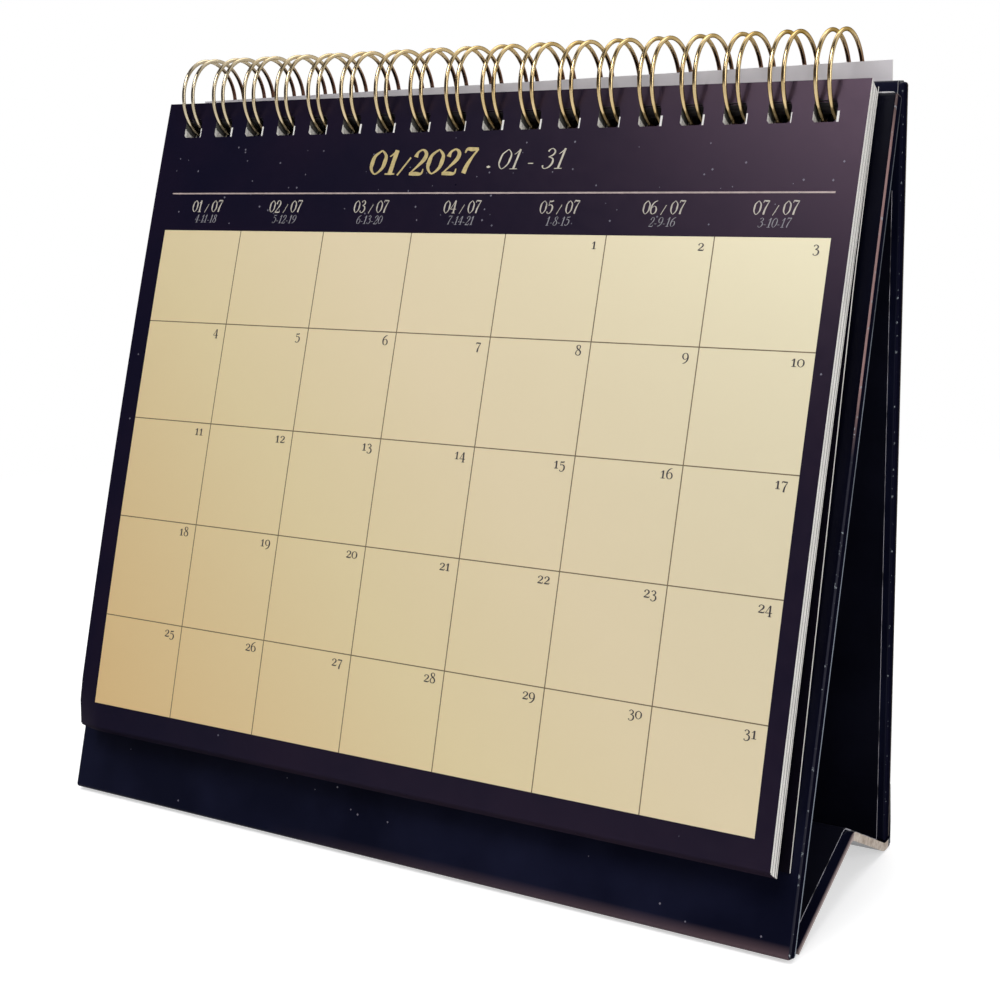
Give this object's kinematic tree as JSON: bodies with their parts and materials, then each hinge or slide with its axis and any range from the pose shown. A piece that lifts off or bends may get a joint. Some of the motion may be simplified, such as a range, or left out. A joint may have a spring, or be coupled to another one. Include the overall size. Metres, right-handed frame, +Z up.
{
  "type": "desk calendar",
  "caption": "Wire-bound tent desk calendar: month leaves and a turned cover leaf on gold double-loop rings over a folding two-board easel with a creased base.",
  "frame": {"origin": "on the ground plane, at the middle of the bounding box in X and Y", "axes": "+Z up, -Y towards the reader who faces the month sheet, +X to the reader's right along the wire"},
  "size_m": [0.166, 0.0596, 0.1553],
  "materials": {
    "wrap": "gloss laminated",
    "grey_board": "matt",
    "lining": "satin",
    "gold_wire": "polished",
    "leaves": "coated card",
    "cover_leaf": "matt card"
  },
  "bodies": {
    "easel": {"front_board": "wrap", "back_board": "wrap", "base_panel": "grey_board", "top_hinge": "wrap", "inner_lining": "lining", "wire_binding": "gold_wire"},
    "month_leaves": {"page_block": "leaves"},
    "cover_leaf": {"turned_leaf": "cover_leaf"}
  },
  "joints": [
    {"name": "month_leaves_turn", "type": "hinge", "parent": "easel", "child": "month_leaves", "pos_m": [0, 0.02092, 0.14638], "axis": [-1, 0, 0], "range_deg": [0, 185]},
    {"name": "cover_leaf_turn", "type": "hinge", "parent": "easel", "child": "cover_leaf", "pos_m": [0, 0.02092, 0.14638], "axis": [1, 0, 0], "range_deg": [0, 170]}
  ]
}
